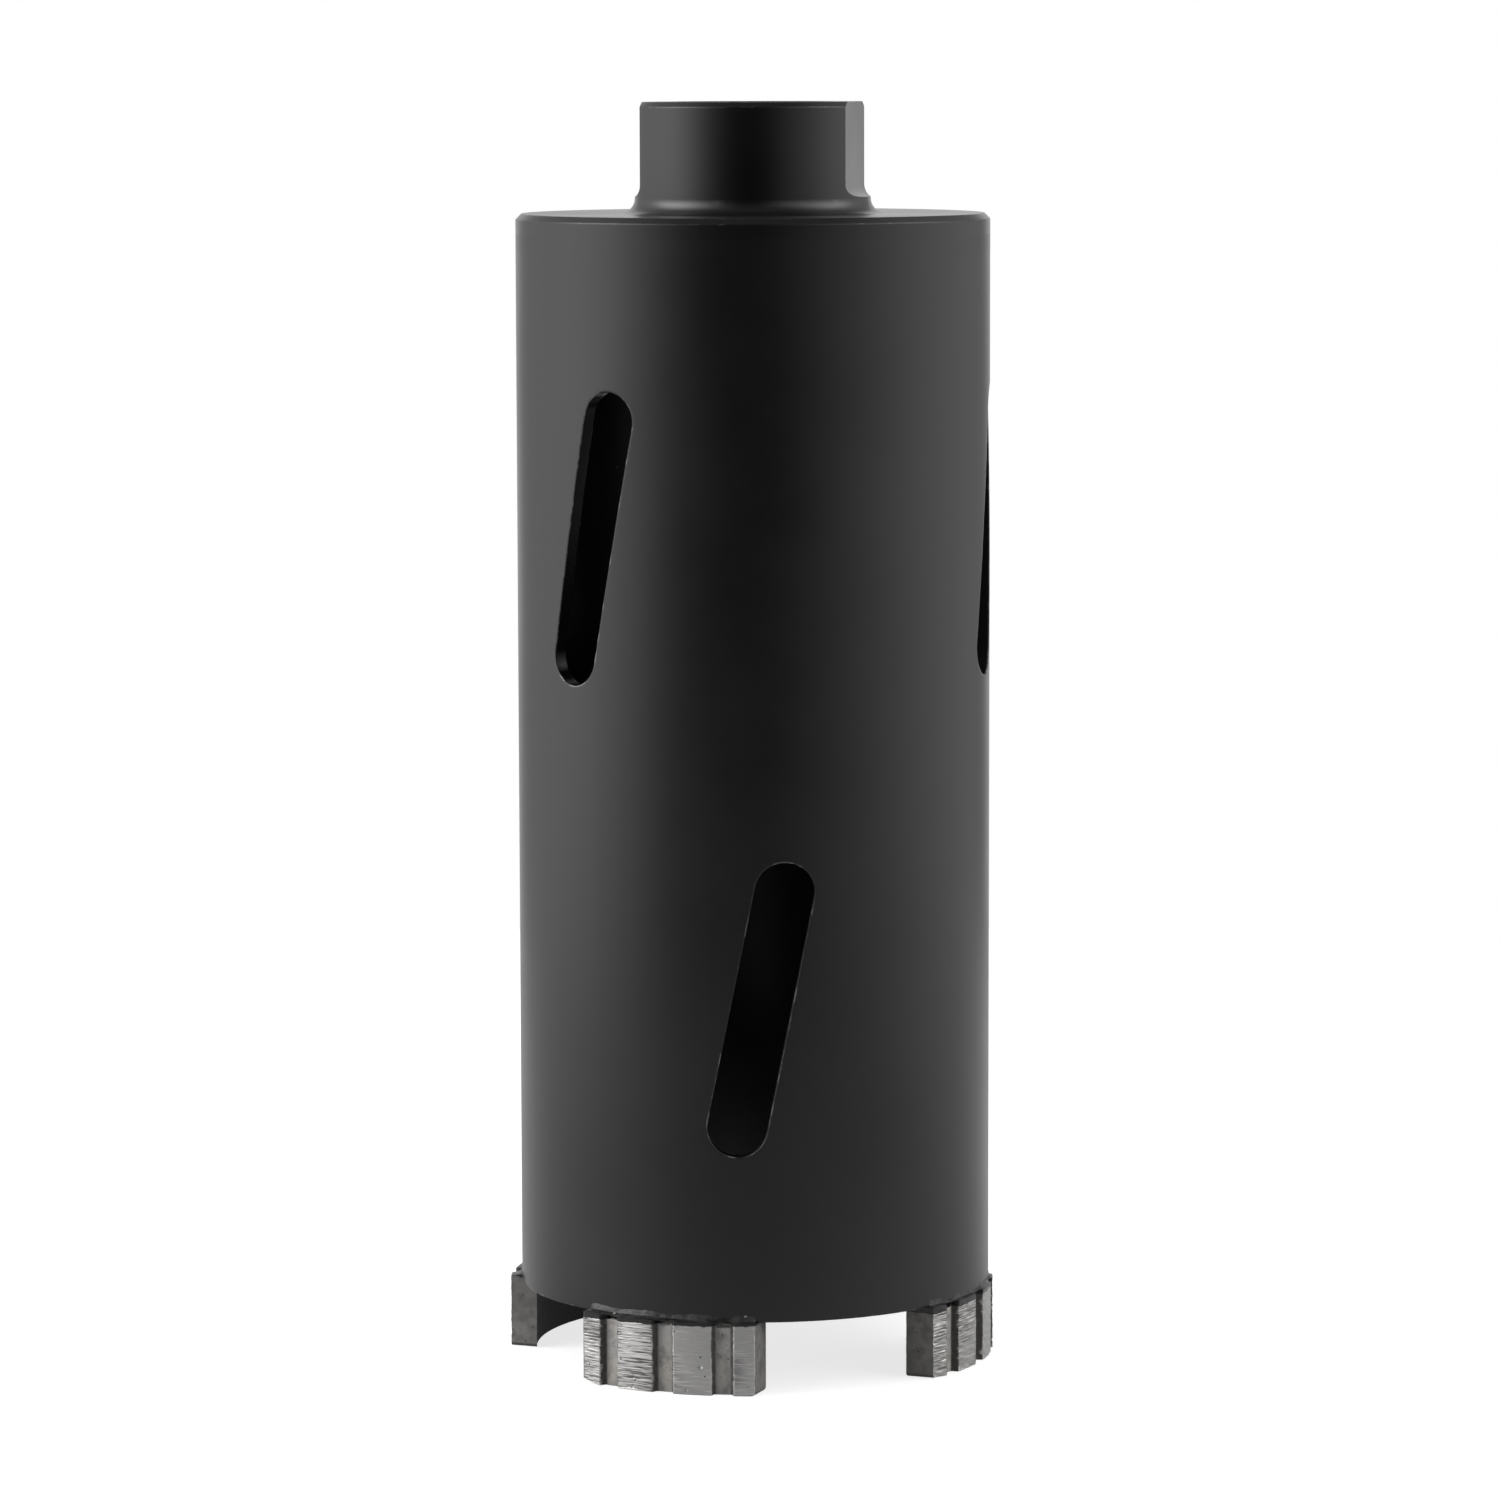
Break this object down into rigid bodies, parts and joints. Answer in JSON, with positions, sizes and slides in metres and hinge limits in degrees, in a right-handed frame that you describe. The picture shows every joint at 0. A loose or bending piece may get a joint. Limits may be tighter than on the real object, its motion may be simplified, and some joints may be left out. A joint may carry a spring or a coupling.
{
  "type": "diamond core bit",
  "caption": "Dry core drill bit: slotted black steel tube with a threaded hub and spanner flats on top and grooved sintered cutting segments under its lower edge.",
  "frame": {"origin": "on the drilling axis, in the plane that the cutting faces of the segments stand on", "axes": "+Z along the drilling axis from the cutting faces up to the hub; -Y is the front, the side that the picture shows"},
  "size_m": [0.0682, 0.0682, 0.1754],
  "materials": {
    "painted_steel": "satin black coat on turned steel",
    "painted_weld": "satin black coat over a rough weld bead",
    "sintered_segment": "sintered metal with ground outer lands"
  },
  "bodies": {
    "root": {"barrel": "painted_steel", "hub": "painted_steel", "hub_weld": "painted_weld", "segment_1": "sintered_segment", "segment_2": "sintered_segment", "segment_3": "sintered_segment", "segment_4": "sintered_segment", "segment_weld_1": "painted_weld", "segment_weld_2": "painted_weld", "segment_weld_3": "painted_weld", "segment_weld_4": "painted_weld"}
  },
  "joints": []
}
